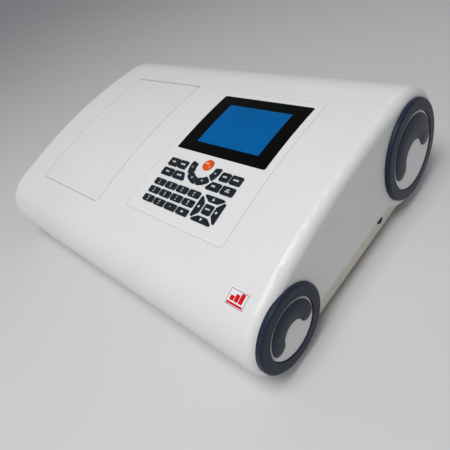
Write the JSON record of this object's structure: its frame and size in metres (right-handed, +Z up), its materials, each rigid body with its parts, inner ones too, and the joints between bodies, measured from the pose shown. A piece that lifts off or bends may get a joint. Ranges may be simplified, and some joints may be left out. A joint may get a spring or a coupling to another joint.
{
  "type": "spectrophotometer",
  "caption": "Bench spectrophotometer: white cover between two rolls, sample compartment with hinged lid, control panel with display and keys, grating optics inside.",
  "frame": {"origin": "on the bench under the middle of the instrument, at the bottom of its feet", "axes": "+X to the operator's right, +Y to the rear, +Z up"},
  "size_m": [0.604, 0.4338, 0.175],
  "materials": {
    "cover_plastic": "fine satin, moulded",
    "panel_plastic": "fine satin, moulded",
    "slate_trim": "satin",
    "window_acrylic": "polished",
    "display_glass": "polished, lit blue",
    "key_rubber": "smooth silicone rubber",
    "start_orange": "glossy, domed",
    "white_print": "printed film",
    "tray_paint": "powder coat",
    "foot_rubber": "moulded",
    "black_screw": "black zinc",
    "pin_steel": "ground",
    "well_black": "fine matt, moulded",
    "carriage_black": "black anodised",
    "plate_aluminium": "milled",
    "sheet_aluminium": "rolled sheet",
    "black_casting": "matt black paint on a casting",
    "black_aluminium": "black anodised",
    "grating_mount": "turned",
    "lamp_glass": "clear",
    "detector_case": "satin paint",
    "circuit_board": "solder mask",
    "supply_steel": "zinc-plated sheet",
    "rear_plastic": "fine matt, moulded",
    "inlet_plastic": "moulded",
    "rocker_plastic": "moulded"
  },
  "bodies": {
    "housing": {"top_cover": "cover_plastic", "base_tray": "tray_paint", "feet": "foot_rubber", "cover_screws": "black_screw", "front_rings": "slate_trim", "rear_rings": "slate_trim", "front_inlays": "slate_trim", "rear_inlays": "slate_trim", "hinge_pins": "pin_steel", "control_panel": "panel_plastic", "display_window": "window_acrylic", "display_module": "display_glass", "key_board": "circuit_board", "badge": "white_print", "sample_well": "well_black", "optics_plate": "plate_aluminium", "monochromator": "black_casting", "monochromator_lid": "sheet_aluminium", "lamp_housing": "sheet_aluminium", "lamp": "lamp_glass", "detector": "detector_case", "main_board": "circuit_board", "power_supply": "supply_steel", "rear_panel": "rear_plastic", "power_inlet": "inlet_plastic"},
    "lid": {"lid": "cover_plastic"},
    "carriage": {"cuvette_carriage": "carriage_black"},
    "grating": {"grating_table": "grating_mount"},
    "filter_wheel": {"filter_wheel": "black_aluminium"},
    "rocker": {"rocker_switch": "rocker_plastic"},
    "digit_key_1": {"digit_key_1": "key_rubber"},
    "digit_key_2": {"digit_key_2": "key_rubber"},
    "digit_key_3": {"digit_key_3": "key_rubber"},
    "digit_key_4": {"digit_key_4": "key_rubber"},
    "digit_key_5": {"digit_key_5": "key_rubber"},
    "digit_key_6": {"digit_key_6": "key_rubber"},
    "digit_key_7": {"digit_key_7": "key_rubber"},
    "digit_key_8": {"digit_key_8": "key_rubber"},
    "digit_key_9": {"digit_key_9": "key_rubber"},
    "digit_key_0": {"digit_key_0": "key_rubber"},
    "point_key": {"point_key": "key_rubber"},
    "clear_key": {"clear_key": "key_rubber"},
    "up_key": {"up_key": "key_rubber"},
    "left_key": {"left_key": "key_rubber"},
    "down_key": {"down_key": "key_rubber"},
    "right_key": {"right_key": "key_rubber"},
    "enter_key": {"enter_key": "key_rubber"},
    "arc_key_1": {"arc_key_1": "key_rubber"},
    "arc_key_2": {"arc_key_2": "key_rubber"},
    "arc_key_3": {"arc_key_3": "key_rubber"},
    "arc_key_4": {"arc_key_4": "key_rubber"},
    "function_key_1": {"function_key_1": "key_rubber"},
    "function_key_2": {"function_key_2": "key_rubber"},
    "function_key_3": {"function_key_3": "key_rubber"},
    "function_key_4": {"function_key_4": "key_rubber"},
    "function_key_5": {"function_key_5": "key_rubber"},
    "function_key_6": {"function_key_6": "key_rubber"},
    "function_key_7": {"function_key_7": "key_rubber"},
    "function_key_8": {"function_key_8": "key_rubber"},
    "start_button": {"start_button": "start_orange"}
  },
  "joints": [
    {"name": "lid_hinge", "type": "hinge", "parent": "housing", "child": "lid", "pos_m": [-0.1326, 0.0716, 0.16412], "axis": [1, 0, 0], "range_deg": [-80, 0]},
    {"name": "carriage_slide", "type": "slide", "parent": "housing", "child": "carriage", "axis": [0, -1, 0], "range_m": [0, 0.066]},
    {"name": "grating_turn", "type": "hinge", "parent": "housing", "child": "grating", "pos_m": [0.045, -0.005, 0.056], "axis": [0, 0, 1], "range_deg": [-12, 25]},
    {"name": "filter_wheel_turn", "type": "hinge", "parent": "housing", "child": "filter_wheel", "pos_m": [0.106, 0.024, 0.085], "axis": [1, 0, 0], "continuous": true},
    {"name": "rocker_tilt", "type": "hinge", "parent": "housing", "child": "rocker", "pos_m": [0.165, 0.2, 0.082], "axis": [1, 0, 0], "range_deg": [-16, 0]},
    {"name": "digit_key_1_press", "type": "slide", "parent": "housing", "child": "digit_key_1", "axis": [0, 0.2463, -0.9692], "range_m": [0, 0.0012], "stiffness_N_per_m": 400},
    {"name": "digit_key_2_press", "type": "slide", "parent": "housing", "child": "digit_key_2", "axis": [0, 0.2463, -0.9692], "range_m": [0, 0.0012], "stiffness_N_per_m": 400},
    {"name": "digit_key_3_press", "type": "slide", "parent": "housing", "child": "digit_key_3", "axis": [0, 0.2463, -0.9692], "range_m": [0, 0.0012], "stiffness_N_per_m": 400},
    {"name": "digit_key_4_press", "type": "slide", "parent": "housing", "child": "digit_key_4", "axis": [0, 0.2463, -0.9692], "range_m": [0, 0.0012], "stiffness_N_per_m": 400},
    {"name": "digit_key_5_press", "type": "slide", "parent": "housing", "child": "digit_key_5", "axis": [0, 0.2609, -0.9654], "range_m": [0, 0.0012], "stiffness_N_per_m": 400},
    {"name": "digit_key_6_press", "type": "slide", "parent": "housing", "child": "digit_key_6", "axis": [0, 0.2609, -0.9654], "range_m": [0, 0.0012], "stiffness_N_per_m": 400},
    {"name": "digit_key_7_press", "type": "slide", "parent": "housing", "child": "digit_key_7", "axis": [0, 0.2609, -0.9654], "range_m": [0, 0.0012], "stiffness_N_per_m": 400},
    {"name": "digit_key_8_press", "type": "slide", "parent": "housing", "child": "digit_key_8", "axis": [0, 0.2609, -0.9654], "range_m": [0, 0.0012], "stiffness_N_per_m": 400},
    {"name": "digit_key_9_press", "type": "slide", "parent": "housing", "child": "digit_key_9", "axis": [0, 0.2754, -0.9613], "range_m": [0, 0.0012], "stiffness_N_per_m": 400},
    {"name": "digit_key_0_press", "type": "slide", "parent": "housing", "child": "digit_key_0", "axis": [0, 0.2754, -0.9613], "range_m": [0, 0.0012], "stiffness_N_per_m": 400},
    {"name": "point_key_press", "type": "slide", "parent": "housing", "child": "point_key", "axis": [0, 0.2754, -0.9613], "range_m": [0, 0.0012], "stiffness_N_per_m": 400},
    {"name": "clear_key_press", "type": "slide", "parent": "housing", "child": "clear_key", "axis": [0, 0.2754, -0.9613], "range_m": [0, 0.0012], "stiffness_N_per_m": 400},
    {"name": "up_key_press", "type": "slide", "parent": "housing", "child": "up_key", "axis": [0, 0.2604, -0.9655], "range_m": [0, 0.0012], "stiffness_N_per_m": 400},
    {"name": "left_key_press", "type": "slide", "parent": "housing", "child": "left_key", "axis": [0, 0.2604, -0.9655], "range_m": [0, 0.0012], "stiffness_N_per_m": 400},
    {"name": "down_key_press", "type": "slide", "parent": "housing", "child": "down_key", "axis": [0, 0.2604, -0.9655], "range_m": [0, 0.0012], "stiffness_N_per_m": 400},
    {"name": "right_key_press", "type": "slide", "parent": "housing", "child": "right_key", "axis": [0, 0.2604, -0.9655], "range_m": [0, 0.0012], "stiffness_N_per_m": 400},
    {"name": "enter_key_press", "type": "slide", "parent": "housing", "child": "enter_key", "axis": [0, 0.2604, -0.9655], "range_m": [0, 0.0012], "stiffness_N_per_m": 400},
    {"name": "arc_key_1_press", "type": "slide", "parent": "housing", "child": "arc_key_1", "axis": [0, 0.2033, -0.9791], "range_m": [0, 0.0012], "stiffness_N_per_m": 400},
    {"name": "arc_key_2_press", "type": "slide", "parent": "housing", "child": "arc_key_2", "axis": [0, 0.2033, -0.9791], "range_m": [0, 0.0012], "stiffness_N_per_m": 400},
    {"name": "arc_key_3_press", "type": "slide", "parent": "housing", "child": "arc_key_3", "axis": [0, 0.2033, -0.9791], "range_m": [0, 0.0012], "stiffness_N_per_m": 400},
    {"name": "arc_key_4_press", "type": "slide", "parent": "housing", "child": "arc_key_4", "axis": [0, 0.2033, -0.9791], "range_m": [0, 0.0012], "stiffness_N_per_m": 400},
    {"name": "function_key_1_press", "type": "slide", "parent": "housing", "child": "function_key_1", "axis": [0, 0.2091, -0.9779], "range_m": [0, 0.0012], "stiffness_N_per_m": 400},
    {"name": "function_key_2_press", "type": "slide", "parent": "housing", "child": "function_key_2", "axis": [0, 0.2091, -0.9779], "range_m": [0, 0.0012], "stiffness_N_per_m": 400},
    {"name": "function_key_3_press", "type": "slide", "parent": "housing", "child": "function_key_3", "axis": [0, 0.2091, -0.9779], "range_m": [0, 0.0012], "stiffness_N_per_m": 400},
    {"name": "function_key_4_press", "type": "slide", "parent": "housing", "child": "function_key_4", "axis": [0, 0.2091, -0.9779], "range_m": [0, 0.0012], "stiffness_N_per_m": 400},
    {"name": "function_key_5_press", "type": "slide", "parent": "housing", "child": "function_key_5", "axis": [0, 0.2273, -0.9738], "range_m": [0, 0.0012], "stiffness_N_per_m": 400},
    {"name": "function_key_6_press", "type": "slide", "parent": "housing", "child": "function_key_6", "axis": [0, 0.2273, -0.9738], "range_m": [0, 0.0012], "stiffness_N_per_m": 400},
    {"name": "function_key_7_press", "type": "slide", "parent": "housing", "child": "function_key_7", "axis": [0, 0.2273, -0.9738], "range_m": [0, 0.0012], "stiffness_N_per_m": 400},
    {"name": "function_key_8_press", "type": "slide", "parent": "housing", "child": "function_key_8", "axis": [0, 0.2273, -0.9738], "range_m": [0, 0.0012], "stiffness_N_per_m": 400},
    {"name": "start_button_press", "type": "slide", "parent": "housing", "child": "start_button", "axis": [0, 0.1979, -0.9802], "range_m": [0, 0.0012], "stiffness_N_per_m": 400}
  ]
}
